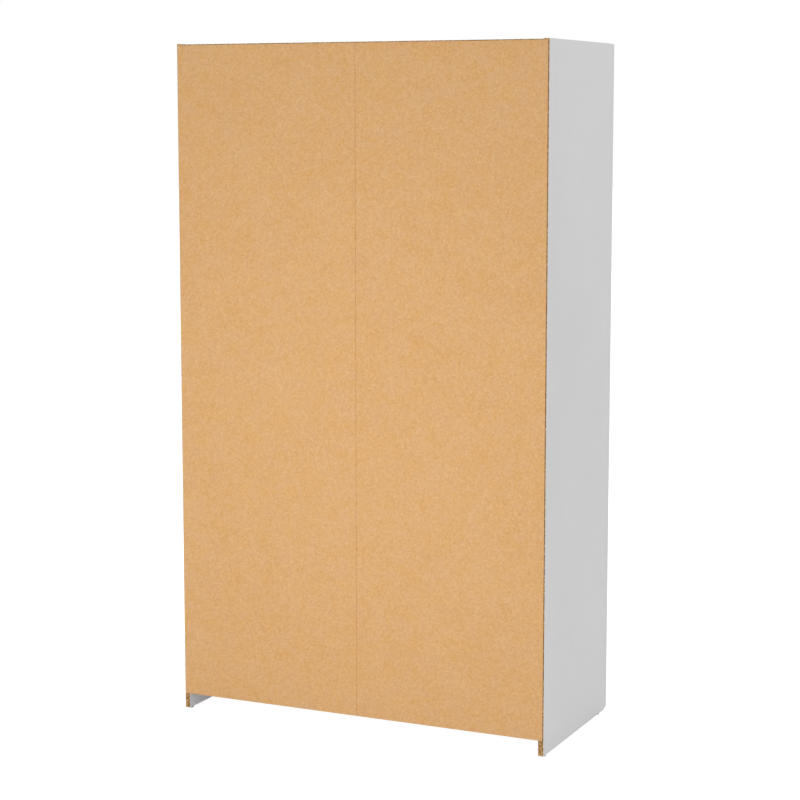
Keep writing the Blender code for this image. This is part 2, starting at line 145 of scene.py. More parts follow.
def stretched(tree, place, stretch, turn=(0, 0, 0)):
    inputs = {"Vector": place, "Scale": stretch, "Rotation": turn}
    return addNode(tree, "ShaderNodeMapping", inputs).outputs["Vector"]


def colour(red, green, blue):
    return (red, green, blue, 1.0)


def startMaterial(name, roughness, metallic=0.0):
    mat = bpy.data.materials.new(name)
    mat.use_nodes = True
    tree = mat.node_tree
    shader = tree.nodes["Principled BSDF"]
    shader.inputs["Roughness"].default_value = roughness
    shader.inputs["Metallic"].default_value = metallic
    coords = addNode(tree, "ShaderNodeTexCoord")
    return mat, tree, shader, coords


def linkBump(tree, shader, height, distance, strength=1.0):
    bump = addNode(tree, "ShaderNodeBump", {"Height": height, "Distance": distance, "Strength": strength})
    tree.links.new(bump.outputs["Normal"], shader.inputs["Normal"])


# shared effects, each a node group
def startGroup(name, inputs, outputs):
    group = bpy.data.node_groups.new(name, "ShaderNodeTree")
    for label, kind, value in inputs:
        socket = group.interface.new_socket(name=label, in_out="INPUT", socket_type="NodeSocket" + kind)
        if value is not None:
            socket.default_value = value
    for label, kind in outputs:
        group.interface.new_socket(name=label, in_out="OUTPUT", socket_type="NodeSocket" + kind)
    start = group.nodes.new("NodeGroupInput")
    end = group.nodes.new("NodeGroupOutput")
    return group, start.outputs, end.inputs


def useGroup(tree, group, inputs):
    node = tree.nodes.new("ShaderNodeGroup")
    node.node_tree = group
    for name, value in inputs.items():
        if isinstance(value, bpy.types.NodeSocket):
            tree.links.new(value, node.inputs[name])
        else:
            node.inputs[name].default_value = value
    return node.outputs


def makeUnevenTone():
    # broad clouds with finer ones in them, centred on one half
    group, given, out = startGroup(
        "unevenTone", [("Vector", "Vector", None), ("Scale", "Float", 5.0), ("Fine share", "Float", 0.35)],
        [("Mask", "Float")],
    )
    broad = noise(group, given["Vector"], given["Scale"], 3.0, 0.55)
    fine = noise(group, given["Vector"], calc(group, "MULTIPLY", given["Scale"], 9.0), 2.0, 0.6)
    fineShare = calc(group, "MULTIPLY", fine, given["Fine share"])
    broadShare = calc(group, "MULTIPLY", broad, calc(group, "SUBTRACT", 1.0, given["Fine share"]))
    total = calc(group, "ADD", fineShare, broadShare)
    group.links.new(remap(group, total, 0.32, 0.68), out["Mask"])
    return group


def makeScuffMarks():
    # hair-thin curved scratches that come in patches
    group, given, out = startGroup(
        "scuffMarks", [("Vector", "Vector", None), ("Scale", "Float", 12.0), ("Amount", "Float", 0.5)],
        [("Mask", "Float")],
    )
    bend = addNode(group, "ShaderNodeTexNoise", {"Vector": given["Vector"], "Scale": 6.0, "Detail": 1.0})
    sway = {0: bend.outputs["Color"], 1: (0.12, 0.12, 0.12)}
    bent = addNode(group, "ShaderNodeVectorMath", sway, operation="MULTIPLY").outputs[0]
    moved = addNode(group, "ShaderNodeVectorMath", {0: given["Vector"], 1: bent}, operation="ADD")
    cells = addNode(
        group, "ShaderNodeTexVoronoi", {"Vector": moved.outputs[0], "Scale": given["Scale"]},
        feature="DISTANCE_TO_EDGE",
    )
    line = remap(group, cells.outputs["Distance"], 0.0, 0.010, 1.0, 0.0)
    patch = remap(group, noise(group, given["Vector"], 7.0, 2.0), 0.56, 0.72)
    mask = calc(group, "MULTIPLY", calc(group, "MULTIPLY", line, patch), given["Amount"])
    group.links.new(mask, out["Mask"])
    return group


def makeBrushedLines():
    # fine parallel lines; the vector comes in stretched along the brushing
    group, given, out = startGroup(
        "brushedLines", [("Vector", "Vector", None), ("Scale", "Float", 900.0)],
        [("Mask", "Float"), ("Height", "Float")],
    )
    lines = noise(group, given["Vector"], given["Scale"], 4.0, 0.65)
    group.links.new(remap(group, lines, 0.30, 0.70), out["Mask"])
    group.links.new(lines, out["Height"])
    return group


def makeFloorDust():
    # thin dust that is thickest just above the floor
    group, given, out = startGroup(
        "floorDust", [("Vector", "Vector", None), ("Reach", "Float", 0.12), ("Amount", "Float", 0.3)],
        [("Mask", "Float")],
    )
    height = addNode(group, "ShaderNodeSeparateXYZ", {0: given["Vector"]}).outputs["Z"]
    low = calc(group, "SUBTRACT", 1.0, calc(group, "DIVIDE", height, given["Reach"]), clamp=True)
    specks = remap(group, noise(group, given["Vector"], 160.0, 4.0, 0.7), 0.40, 0.70)
    mask = calc(group, "MULTIPLY", calc(group, "MULTIPLY", low, low), specks)
    group.links.new(calc(group, "MULTIPLY", mask, given["Amount"]), out["Mask"])
    return group


coreLook = {
    "chips": (
        (0.0, colour(0.21, 0.105, 0.032)),
        (0.30, colour(0.41, 0.228, 0.078)),
        (0.65, colour(0.61, 0.36, 0.135)),
        (1.0, colour(0.86, 0.57, 0.26)),
    ),
    "gap": colour(0.13, 0.066, 0.024),
    "gapShare": 0.5,
}


def makeChipboardCore():
    # pressed wood chips as a saw leaves them: flakes of several tans, dark gaps, fine fibre
    group, given, out = startGroup(
        "chipboardCore", [("Vector", "Vector", None), ("Scale", "Float", 420.0)],
        [("Colour", "Color"), ("Height", "Float")],
    )
    cells = {"Vector": given["Vector"], "Scale": given["Scale"], "Randomness": 1.0}
    flakes = addNode(group, "ShaderNodeTexVoronoi", cells)
    tint = addNode(group, "ShaderNodeSeparateColor", {0: flakes.outputs["Color"]}).outputs[0]
    ramp = addNode(group, "ShaderNodeValToRGB", {"Fac": tint})
    first, *between, last = coreLook["chips"]
    stops = ramp.color_ramp.elements
    for stop, (position, shade) in zip(stops, (first, last)):
        stop.position = position
        stop.color = shade
    for position, shade in between:
        stops.new(position).color = shade
    fibre = noise(group, given["Vector"], calc(group, "MULTIPLY", given["Scale"], 3.0), 3.0, 0.6)
    shaded = mixed(group, 0.45, ramp.outputs["Color"], remap(group, fibre, 0.2, 0.8), "OVERLAY")
    gap = remap(group, flakes.outputs["Distance"], 0.35, 0.75)
    gapShare = calc(group, "MULTIPLY", gap, coreLook["gapShare"])
    group.links.new(mixed(group, gapShare, shaded, coreLook["gap"]), out["Colour"])
    group.links.new(calc(group, "SUBTRACT", fibre, gap), out["Height"])
    return group


unevenTone = makeUnevenTone()
scuffMarks = makeScuffMarks()
brushedLines = makeBrushedLines()
floorDust = makeFloorDust()
chipboardCore = makeChipboardCore()
print("shared node groups made")


# finishes
boardLook = {
    "light": colour(0.835, 0.825, 0.832),
    "dark": colour(0.800, 0.790, 0.797),
    "band": colour(0.850, 0.842, 0.846),
    "dust": colour(0.50, 0.47, 0.43),
    "roughness": 0.36,
    "pebbleScale": 1000.0,      # about one bump to the millimetre
    "pebbleDepth": 0.00004,
    "swellScale": 90.0,
    "swellShare": 0.8,
    "toneScale": 3.0,
    "scuffScale": 9.0,
    "scuffAmount": 0.35,
    "scuffShare": 0.12,
    "dustReach": 0.10,
    "dustAmount": 0.28,
    "bandShare": 0.5,
    "bandRelief": 0.4,
    "coreScale": 420.0,
    "coreRelief": 6.0,
    # what each adds to the roughness
    "scuffDull": 0.25,
    "dustDull": 0.4,
    "coreDull": 0.45,
    # the pin holes: middle and reach of their depth in a board, rows' inset, half a hole's width
    "holes": {"middle": 0.0078, "reach": 0.0070, "inset": 0.060, "halfWidth": 0.004},
}


def makeBoard(name, drilled=False):
    # white foil on chipboard: pebbled faces, smoother edge bands, bare core behind, below and in holes
    look = boardLook
    mat, tree, shader, coords = startMaterial(name, look["roughness"])
    place = coords.outputs["Object"]
    facing = addNode(tree, "ShaderNodeSeparateXYZ", {0: coords.outputs["Normal"]}).outputs
    spot = addNode(tree, "ShaderNodeSeparateXYZ", {0: place}).outputs
    rearFace = calc(tree, "GREATER_THAN", facing["Y"], 0.9)
    behind = calc(tree, "MULTIPLY", rearFace, calc(tree, "GREATER_THAN", spot["Y"], rearY - 0.004))
    atFoot = calc(tree, "LESS_THAN", spot["Z"], footZ + 0.0005)
    under = calc(tree, "MULTIPLY", calc(tree, "LESS_THAN", facing["Z"], -0.9), atFoot)
    bare = calc(tree, "ADD", behind, under, clamp=True)
    if drilled:
        holes = look["holes"]
        fromSide = awayFrom(tree, spot["X"], innerX + holes["middle"])
        fromPartition = awayFrom(tree, spot["X"], partitionRight - holes["middle"])
        inBoard = calc(tree, "LESS_THAN", calc(tree, "MINIMUM", fromSide, fromPartition), holes["reach"])
        fromMiddle = awayFrom(tree, spot["Y"], (frontY + rearY) / 2)
        rowPlace = (rearY - frontY) / 2 - holes["inset"]
        inRow = calc(tree, "LESS_THAN", awayFrom(tree, fromMiddle, rowPlace), holes["halfWidth"])
        offEnds = calc(tree, "LESS_THAN", awayFrom(tree, spot["Z"], boardMiddleZ), boardMiddleZ - 0.1)
        inHole = calc(tree, "MULTIPLY", calc(tree, "MULTIPLY", inBoard, inRow), offEnds)
        bare = calc(tree, "ADD", bare, inHole, clamp=True)
    band = calc(tree, "LESS_THAN", facing["Y"], -0.9)

    mottle = {"Vector": place, "Scale": look["toneScale"], "Fine share": 0.30}
    tone = useGroup(tree, unevenTone, mottle)["Mask"]
    worn = {"Vector": place, "Scale": look["scuffScale"], "Amount": look["scuffAmount"]}
    scuffs = useGroup(tree, scuffMarks, worn)["Mask"]
    settled = {"Vector": place, "Reach": look["dustReach"], "Amount": look["dustAmount"]}
    dust = useGroup(tree, floorDust, settled)["Mask"]
    lying = stretched(tree, place, (0.7, 1.0, 0.55))
    core = useGroup(tree, chipboardCore, {"Vector": lying, "Scale": look["coreScale"]})
    foil = mixed(tree, tone, look["dark"], look["light"])
    foil = mixed(tree, calc(tree, "MULTIPLY", band, look["bandShare"]), foil, look["band"])
    foil = mixed(tree, dust, foil, look["dust"])
    foil = mixed(tree, calc(tree, "MULTIPLY", scuffs, look["scuffShare"]), foil, look["dust"])
    tree.links.new(mixed(tree, bare, foil, core["Colour"]), shader.inputs["Base Color"])

    sheen = remap(tree, tone, 0.0, 1.0, look["roughness"] - 0.04, look["roughness"] + 0.05)
    sheen = calc(tree, "ADD", sheen, calc(tree, "MULTIPLY", scuffs, look["scuffDull"]))
    sheen = calc(tree, "ADD", sheen, calc(tree, "MULTIPLY", dust, look["dustDull"]))
    sheen = calc(tree, "ADD", sheen, calc(tree, "MULTIPLY", bare, look["coreDull"]), clamp=True)
    tree.links.new(sheen, shader.inputs["Roughness"])

    pebble = noise(tree, place, look["pebbleScale"], 2.0, 0.5)
    swell = noise(tree, place, look["swellScale"], 1.0)
    skin = calc(tree, "ADD", pebble, calc(tree, "MULTIPLY", swell, look["swellShare"]))
    skin = calc(tree, "MULTIPLY", skin, remap(tree, band, 0.0, 1.0, 1.0, look["bandRelief"]))
    coreHeight = calc(tree, "MULTIPLY", core["Height"], look["coreRelief"])
    coreHeight = calc(tree, "MULTIPLY", coreHeight, bare)
    faced = calc(tree, "MULTIPLY", skin, calc(tree, "SUBTRACT", 1.0, bare))
    linkBump(tree, shader, calc(tree, "ADD", faced, coreHeight), look["pebbleDepth"])
    return mat


hardboardLook = {
    "pale": colour(0.748, 0.425, 0.200),
    "orange": colour(0.755, 0.400, 0.130),
    "light": colour(0.845, 0.555, 0.285),
    "deep": colour(0.590, 0.268, 0.070),
    "fleck": colour(0.46, 0.22, 0.07),
    "edge": colour(0.215, 0.118, 0.050),
    "edgeLight": colour(0.34, 0.20, 0.09),
    "dust": colour(0.42, 0.33, 0.24),
    "painted": colour(0.80, 0.79, 0.775),
    "paintedDark": colour(0.775, 0.765, 0.745),
    "dustReach": 0.16,
    "dustAmount": 0.16,
    "relief": 0.00016,
    "curlRelief": 0.7,
    "paintRelief": 0.3,
    "paintSheen": 0.18,
    # how fine each pattern is
    "cloudScale": 7.0,
    "patchScale": 26.0,
    "curlScale": 95.0,
    "crumbScale": 190.0,
    "fleckScale": 240.0,
    "fibreScale": 520.0,
    # and how strongly it colours the face
    "cloudShare": 0.26,
    "curlShare": 0.50,
    "crumbShare": 0.52,
    "fibreShare": 0.34,
    "fleckShare": 0.55,
}


def makeHardboard():
    # pressed fibre: rough tan outside, painted white inside, dark sawn edges
    look = hardboardLook
    mat, tree, shader, coords = startMaterial("hardboard", 0.7)
    place = coords.outputs["Object"]
    facing = addNode(tree, "ShaderNodeSeparateXYZ", {0: coords.outputs["Normal"]}).outputs
    inside = calc(tree, "LESS_THAN", facing["Y"], -0.9)
    edgeOn = calc(tree, "LESS_THAN", calc(tree, "ABSOLUTE", facing["Y"]), 0.5)
    acrossX = addNode(tree, "ShaderNodeSeparateXYZ", {0: place}).outputs["X"]
    offSeam = calc(tree, "GREATER_THAN", calc(tree, "ABSOLUTE", acrossX), 0.01)
    sawn = calc(tree, "MULTIPLY", edgeOn, offSeam)

    mottle = {"Vector": place, "Scale": look["cloudScale"], "Fine share": 0.5}
    cloud = useGroup(tree, unevenTone, mottle)["Mask"]
    patches = remap(tree, noise(tree, place, look["patchScale"], 5.0, 0.72, 0.8), 0.40, 0.60)
    curls = noise(tree, place, look["curlScale"], 3.0, 0.62, 2.2)
    wisps = remap(tree, awayFrom(tree, curls, 0.5), 0.0, 0.11, 1.0, 0.0)
    crumbs = remap(tree, noise(tree, place, look["crumbScale"], 2.0, 0.6, 1.2), 0.42, 0.64)
    flecks = remap(tree, noise(tree, place, look["fleckScale"], 2.0, 0.5, 0.8), 0.70, 0.80)
    upright = stretched(tree, place, (1.0, 1.0, 0.22), (0, 0.5, 0))
    level = stretched(tree, place, (0.22, 1.0, 1.0), (0, 0.35, 0))
    uprightFibres = noise(tree, upright, look["fibreScale"], 2.0, 0.6, 0.6)
    levelFibres = noise(tree, level, look["fibreScale"], 2.0, 0.6, 0.6)
    fibres = calc(tree, "MAXIMUM", uprightFibres, levelFibres)

    fibreFace = mixed(tree, patches, look["pale"], look["orange"])
    layers = (
        (cloud, look["cloudShare"], look["light"]),
        (wisps, look["curlShare"], look["deep"]),
        (crumbs, look["crumbShare"], look["light"]),
        (remap(tree, fibres, 0.50, 0.80), look["fibreShare"], look["light"]),
        (flecks, look["fleckShare"], look["fleck"]),
    )
    for mask, share, shade in layers:
        fibreFace = mixed(tree, calc(tree, "MULTIPLY", mask, share), fibreFace, shade)
    settled = {"Vector": place, "Reach": look["dustReach"], "Amount": look["dustAmount"]}
    dust = useGroup(tree, floorDust, settled)["Mask"]
    fibreFace = mixed(tree, dust, fibreFace, look["dust"])
    rim = mixed(tree, fibres, look["edge"], look["edgeLight"])
    paint = mixed(tree, cloud, look["painted"], look["paintedDark"])
    shown = mixed(tree, inside, fibreFace, paint)
    tree.links.new(mixed(tree, sawn, shown, rim), shader.inputs["Base Color"])

    worn = remap(tree, fibres, 0.3, 0.8, 0.62, 0.82)
    worn = calc(tree, "SUBTRACT", worn, calc(tree, "MULTIPLY", inside, look["paintSheen"]))
    tree.links.new(worn, shader.inputs["Roughness"])
    relief = calc(tree, "ADD", fibres, calc(tree, "MULTIPLY", curls, look["curlRelief"]))
    relief = calc(tree, "MULTIPLY", relief, remap(tree, inside, 0.0, 1.0, 1.0, look["paintRelief"]))
    linkBump(tree, shader, relief, look["relief"])
    shader.inputs["Specular IOR Level"].default_value = 0.3
    return mat


tapeLook = {
    "light": colour(0.82, 0.815, 0.80),
    "dark": colour(0.77, 0.765, 0.745),
    "fibre": colour(0.70, 0.69, 0.665),
    "toneScale": 14.0,
    "fibreScale": 700.0,
    "depth": 0.00008,
}


def makeFoldTape():
    # paper tape with its fibres lying along the fold
    look = tapeLook
    mat, tree, shader, coords = startMaterial("foldTape", 0.6)
    place = coords.outputs["Object"]
    along = stretched(tree, place, (1.0, 1.0, 0.2))
    fibre = noise(tree, along, look["fibreScale"], 3.0, 0.6)
    mottle = {"Vector": place, "Scale": look["toneScale"], "Fine share": 0.4}
    tone = useGroup(tree, unevenTone, mottle)["Mask"]
    paper = mixed(tree, tone, look["dark"], look["light"])
    paper = mixed(tree, remap(tree, fibre, 0.5, 0.8, 0.0, 0.25), paper, look["fibre"])
    tree.links.new(paper, shader.inputs["Base Color"])
    tree.links.new(remap(tree, fibre, 0.3, 0.7, 0.52, 0.68), shader.inputs["Roughness"])
    linkBump(tree, shader, fibre, look["depth"])
    return mat


metalLooks = {
    "handleMetal": {
        "light": colour(0.52, 0.515, 0.505), "dark": colour(0.40, 0.395, 0.385),
        "smooth": 0.24, "dull": 0.36, "stretch": (1.0, 1.0, 0.04), "depth": 0.00001,
    },
    "railSteel": {
        "light": colour(0.72, 0.72, 0.72), "dark": colour(0.62, 0.62, 0.62),
        "smooth": 0.16, "dull": 0.28, "stretch": (0.03, 1.0, 1.0), "depth": 0.000006,
    },
    "hingeSteel": {
        "light": colour(0.72, 0.705, 0.68), "dark": colour(0.66, 0.645, 0.62),
        "smooth": 0.19, "dull": 0.27, "stretch": (1.0, 0.12, 1.0), "depth": 0.000004,
    },
    "screwSteel": {
        "light": colour(0.56, 0.56, 0.56), "dark": colour(0.44, 0.44, 0.44),
        "smooth": 0.22, "dull": 0.34, "stretch": (1.0, 1.0, 1.0), "depth": 0.00001,
    },
    # a whiter, brighter metal for the one nail at the upper corner: a painted glint, not a different nail
    "paintedGlintZinc": {
        "light": colour(0.93, 0.93, 0.93), "dark": colour(0.86, 0.86, 0.86),
        "smooth": 0.45, "dull": 0.55, "stretch": (1.0, 1.0, 1.0), "depth": 0.00001,
    },
    "nailBrass": {
        "light": colour(0.60, 0.385, 0.185), "dark": colour(0.47, 0.28, 0.12),
        "smooth": 0.45, "dull": 0.6, "stretch": (1.0, 1.0, 1.0), "depth": 0.00001,
    },
}

metalWear = {
    "lineScale": 1400.0,
    "smudgeScale": 40.0,
    "scuffScale": 60.0,
    "scuffAmount": 0.5,
    "scuffShare": 0.4,
    "scuffDull": 0.2,
}


def makeMetal(name, metallic=1.0):
    look = metalLooks[name]
    mat, tree, shader, coords = startMaterial(name, look["smooth"], metallic)
    place = coords.outputs["Object"]
    along = stretched(tree, place, look["stretch"])
    lines = useGroup(tree, brushedLines, {"Vector": along, "Scale": metalWear["lineScale"]})
    mottle = {"Vector": place, "Scale": metalWear["smudgeScale"], "Fine share": 0.3}
    smudge = useGroup(tree, unevenTone, mottle)["Mask"]
    worn = {"Vector": place, "Scale": metalWear["scuffScale"], "Amount": metalWear["scuffAmount"]}
    scuffs = useGroup(tree, scuffMarks, worn)["Mask"]
    halfLines = calc(tree, "MULTIPLY", lines["Mask"], 0.5)
    tone = calc(tree, "ADD", halfLines, calc(tree, "MULTIPLY", smudge, 0.5))
    shade = mixed(tree, tone, look["dark"], look["light"])
    shade = mixed(tree, calc(tree, "MULTIPLY", scuffs, metalWear["scuffShare"]), shade, look["dark"])
    tree.links.new(shade, shader.inputs["Base Color"])
    dull = remap(tree, tone, 0.0, 1.0, look["dull"], look["smooth"])
    dull = calc(tree, "ADD", dull, calc(tree, "MULTIPLY", scuffs, metalWear["scuffDull"]))
    tree.links.new(dull, shader.inputs["Roughness"])
    linkBump(tree, shader, lines["Height"], look["depth"])
    return mat


plasticLooks = {
    "glidePlastic": {
        "light": colour(0.105, 0.100, 0.096), "dark": colour(0.070, 0.067, 0.064),
        "roughness": 0.5, "dust": 0.8,
    },
    "capPlastic": {
        "light": colour(0.84, 0.835, 0.83), "dark": colour(0.80, 0.795, 0.79),
        "roughness": 0.32, "dust": 0.0,
    },
    "bufferPlastic": {
        "light": colour(0.80, 0.81, 0.81), "dark": colour(0.72, 0.73, 0.73),
        "roughness": 0.25, "dust": 0.0,
    },
}
plasticWear = {
    "toneScale": 60.0,
    "grainScale": 1600.0,
    "grainDepth": 0.00002,
    "dustReach": 0.02,
    "dustDull": 0.3,
    "dust": colour(0.36, 0.33, 0.29),
}


def makePlastic(name):
    look = plasticLooks[name]
    mat, tree, shader, coords = startMaterial(name, look["roughness"])
    place = coords.outputs["Object"]
    mottle = {"Vector": place, "Scale": plasticWear["toneScale"], "Fine share": 0.4}
    tone = useGroup(tree, unevenTone, mottle)["Mask"]
    settled = {"Vector": place, "Reach": plasticWear["dustReach"], "Amount": look["dust"]}
    dust = useGroup(tree, floorDust, settled)["Mask"]
    shade = mixed(tree, tone, look["dark"], look["light"])
    tree.links.new(mixed(tree, dust, shade, plasticWear["dust"]), shader.inputs["Base Color"])
    grain = noise(tree, place, plasticWear["grainScale"], 2.0)
    sheen = remap(tree, grain, 0.3, 0.7, look["roughness"] - 0.05, look["roughness"] + 0.07)
    sheen = calc(tree, "ADD", sheen, calc(tree, "MULTIPLY", dust, plasticWear["dustDull"]))
    tree.links.new(sheen, shader.inputs["Roughness"])
    linkBump(tree, shader, grain, plasticWear["grainDepth"])
    return mat


finishes = {
    "white_board": makeBoard("whiteBoard"),
    "hardboard": makeHardboard(),
    "fold_tape": makeFoldTape(),
    "handle_metal": makeMetal("handleMetal"),
    "rail_steel": makeMetal("railSteel"),
    "hinge_steel": makeMetal("hingeSteel"),
    "buffer_plastic": makePlastic("bufferPlastic"),
    "glide_plastic": makePlastic("glidePlastic"),
}
drilledBoard = makeBoard("drilledBoard", drilled=True)
screwSteel = makeMetal("screwSteel")
nailBrass = makeMetal("nailBrass", 0.35)
paintedGlintZinc = makeMetal("paintedGlintZinc", 0.5)
capPlastic = makePlastic("capPlastic")
for nodeName, node in nodes.items():
    node.material_slots[0].material = finishes[slotOf[nodeName]]
for nodeName in ("side_right", "partition"):
    nodes[nodeName].material_slots[0].material = drilledBoard
print("finishes made and put on the frame")


# mesh helpers
def bevelEdges(bm, edges, offset, segments):
    bmesh.ops.bevel(
        bm, geom=edges, offset=offset, segments=segments, profile=0.5, affect="EDGES", material=-1
    )


def addDisc(bm, segments, radius, depth, narrowing=1.0):
    made = bmesh.ops.create_cone(
        bm, cap_ends=True, segments=segments, radius1=radius, radius2=radius * narrowing, depth=depth
    )
    return made["verts"]


def addRings(bm, rings):
    # a closed skin over rings of points, in the order given, so that every run gives the same mesh
    rows = [[bm.verts.new(point) for point in ring] for ring in rings]
    for row, following in zip(rows, rows[1:]):
        for i in range(len(row)):
            bm.faces.new((row[i - 1], row[i], following[i], following[i - 1]))
    bm.faces.new(rows[0])
    bm.faces.new(rows[-1])


def addPiece(name, bm, mat, body, smoothAngle=35):
    bmesh.ops.recalc_face_normals(bm, faces=bm.faces)
    mesh = bpy.data.meshes.new(name)
    bm.to_mesh(mesh)
    bm.free()
    mesh.materials.append(mat)
    mesh.shade_smooth()
    mesh.set_sharp_from_angle(angle=math.radians(smoothAngle))
    piece = bpy.data.objects.new(name, mesh)
    bpy.context.scene.collection.objects.link(piece)
    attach(piece, body)
    return piece


def turnedTo(direction):
    return Vector((0, 0, 1)).rotation_difference(Vector(direction)).to_matrix().to_4x4()


def stamp(bm, mesh, place, direction):
    # one more copy of a small mesh, its +Z turned to the direction
    known = len(bm.verts)
    bm.from_mesh(mesh)
    bm.verts.ensure_lookup_table()
    fresh = bm.verts[known:]
    bmesh.ops.transform(bm, matrix=Matrix.Translation(place) @ turnedTo(direction), verts=fresh)


def cutMesh(mesh, cutterMesh):
    target = bpy.data.objects.new("target", mesh)
    cutter = bpy.data.objects.new("cutter", cutterMesh)
    for obj in (target, cutter):
        bpy.context.scene.collection.objects.link(obj)
    cut = target.modifiers.new("cut", "BOOLEAN")
    cut.operation = "DIFFERENCE"
    cut.object = cutter
    bpy.context.view_layer.update()
    result = bpy.data.meshes.new_from_object(target.evaluated_get(bpy.context.evaluated_depsgraph_get()))
    for obj in (target, cutter):
        bpy.data.objects.remove(obj, do_unlink=True)
    return result


def toMesh(bm, name):
    bmesh.ops.recalc_face_normals(bm, faces=bm.faces)
    mesh = bpy.data.meshes.new(name)
    bm.to_mesh(mesh)
    bm.free()
    return mesh


# a screw head's shape, in shares of its radius and height
headShape = {
    "sides": 16,
    "narrowing": 0.94,
    "rounding": 0.5,
    "crossReach": 0.55,
    "crossHalfWidth": 0.14,
    "crossFloor": 0.45,
}


def screwHead(radius, height):
    # a pan head with a cross recess, seated on Z = 0
    shape = headShape
    bm = bmesh.new()
    addDisc(bm, shape["sides"], radius, height, shape["narrowing"])
    bmesh.ops.translate(bm, verts=bm.verts, vec=(0, 0, height / 2))
    crown = [e for e in bm.edges if all(v.co.z > height * 0.9 for v in e.verts)]
    bevelEdges(bm, crown, height * shape["rounding"], 2)
    reach = radius * shape["crossReach"]
    half = radius * shape["crossHalfWidth"]
    quarter = [(reach, -half), (reach, half), (half, half)]
    outline = []
    for turn in range(4):
        for x, y in quarter:
            for _ in range(turn):
                x, y = -y, x
            outline.append(Vector((x, y, height * shape["crossFloor"])))
    raised = [point + Vector((0, 0, height)) for point in outline]
    cross = bmesh.new()
    addRings(cross, [outline, raised])
    head = toMesh(bm, "head")
    recess = toMesh(cross, "recess")
    return cutMesh(head, recess)


def refinedCopy(node, edge=0.00015, segments=2, sharpFrom=50):
    # the node's own shape with its triangles merged, its corners broken and its curves shaded smooth
    bm = bmesh.new()
    bm.from_mesh(nodes[node].data)
    bmesh.ops.remove_doubles(bm, verts=bm.verts, dist=0.00001)
    bmesh.ops.dissolve_limit(bm, angle_limit=math.radians(1.0), verts=bm.verts, edges=bm.edges)
    sharpest = math.radians(sharpFrom)
    corners = [e for e in bm.edges if len(e.link_faces) == 2 and e.calc_face_angle() > sharpest]
    bevelEdges(bm, corners, edge, segments)
    piece = addPiece(node + "_finished", bm, finishes[slotOf[node]], bodyOf[node])
    if "custom_normal" in piece.data.attributes:
        piece.data.attributes.remove(piece.data.attributes["custom_normal"])
    weighted = piece.modifiers.new("weighted", "WEIGHTED_NORMAL")
    weighted.keep_sharp = True
    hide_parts(node)


# handles: a round bow with small feet against the door
handleShape = {
    "radius": 0.005,
    "bend": 0.013,
    "sides": 24,
    "bendSteps": 10,
    "footRadius": 0.0068,
    "footHeight": 0.0012,
    "footNarrowing": 0.9,
}


def sweptRings(points, heading, radius, sides):
    # a circle round each point, turned to the way the path goes there
    spin = [2 * math.pi * i / sides for i in range(sides)]
    circle = [Vector((-math.sin(angle), math.cos(angle), 0)) * radius for angle in spin]
    start = turnedTo(heading).to_3x3()
    spokes = [start @ spoke for spoke in circle]
    rings = [[points[0] + spoke for spoke in spokes]]
    for i, point in enumerate(points[1:], start=1):
        step = point - points[i - 1]
        follow = points[i + 1] - point if i + 1 < len(points) else step
        wanted = (step.normalized() + follow.normalized()).normalized()
        turn = heading.rotation_difference(wanted).to_matrix()
        spokes = [turn @ spoke for spoke in spokes]
        rings.append([point + spoke for spoke in spokes])
        heading = wanted
    return rings


def makeHandle(door):
    shape = handleShape
    low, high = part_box(f"handle_{door}")
    middleX = (low.x + high.x) / 2
    frontLine = low.y + shape["radius"]
    postLow = low.z + shape["radius"]
    postHigh = high.z - shape["radius"]
    bend = shape["bend"]
    points = [Vector((middleX, high.y, postLow))]
    centres = ((frontLine + bend, postLow + bend, 270), (frontLine + bend, postHigh - bend, 180))
    for centreY, centreZ, startAngle in centres:
        for i in range(shape["bendSteps"] + 1):
            angle = math.radians(startAngle - 90 * i / shape["bendSteps"])
            y = centreY + bend * math.cos(angle)
            points.append(Vector((middleX, y, centreZ + bend * math.sin(angle))))
    points.append(Vector((middleX, high.y, postHigh)))
    bm = bmesh.new()
    addRings(bm, sweptRings(points, Vector((0, -1, 0)), shape["radius"], shape["sides"]))
    for z in (postLow, postHigh):
        foot = addDisc(bm, shape["sides"], shape["footRadius"], shape["footHeight"], shape["footNarrowing"])
        footPlace = Matrix.Translation((middleX, high.y - shape["footHeight"] / 2, z)) @ turnedTo((0, -1, 0))
        bmesh.ops.transform(bm, matrix=footPlace, verts=foot)
    piece = addPiece(f"handle_{door}_bow", bm, finishes["handle_metal"], f"door_{door}")
    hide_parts(f"handle_{door}")


for door in doorNames:
    makeHandle(door)
print("handles made")


# the frame's small hardware, merged and shaded smooth
for nodeName in nodes:
    if nodeName.startswith("hinge_"):
        refinedCopy(nodeName)
    elif nodeName.startswith(("rail_socket", "hanging_rail")):
        refinedCopy(nodeName, edge=0.0003)
    elif nodeName.startswith(("buffer_", "glide_")):
        refinedCopy(nodeName, edge=0.0003, segments=3)
print("hinges, rail, buffers and glides refined")


# screws
screws = {
    "plate": {
        "radius": 0.0036, "height": 0.0018, "offset": 0.0165, "fromFront": 0.037, "plate": 0.0018,
    },
    "adjuster": {"radius": 0.0030, "height": 0.0012, "fromFront": (0.034, 0.051), "rise": (0.0137, 0.0121)},
    "cup": {"radius": 0.0034, "height": 0.0013, "offset": 0.0235, "fromEdge": 0.0295, "flange": 0.0011},
    "handle": {"radius": 0.0042, "height": 0.0020},
    "socket": {"radius": 0.0030, "height": 0.0014, "offset": 0.0200, "plate": 0.0030},
}
heads = {name: screwHead(spec["radius"], spec["height"]) for name, spec in screws.items()}


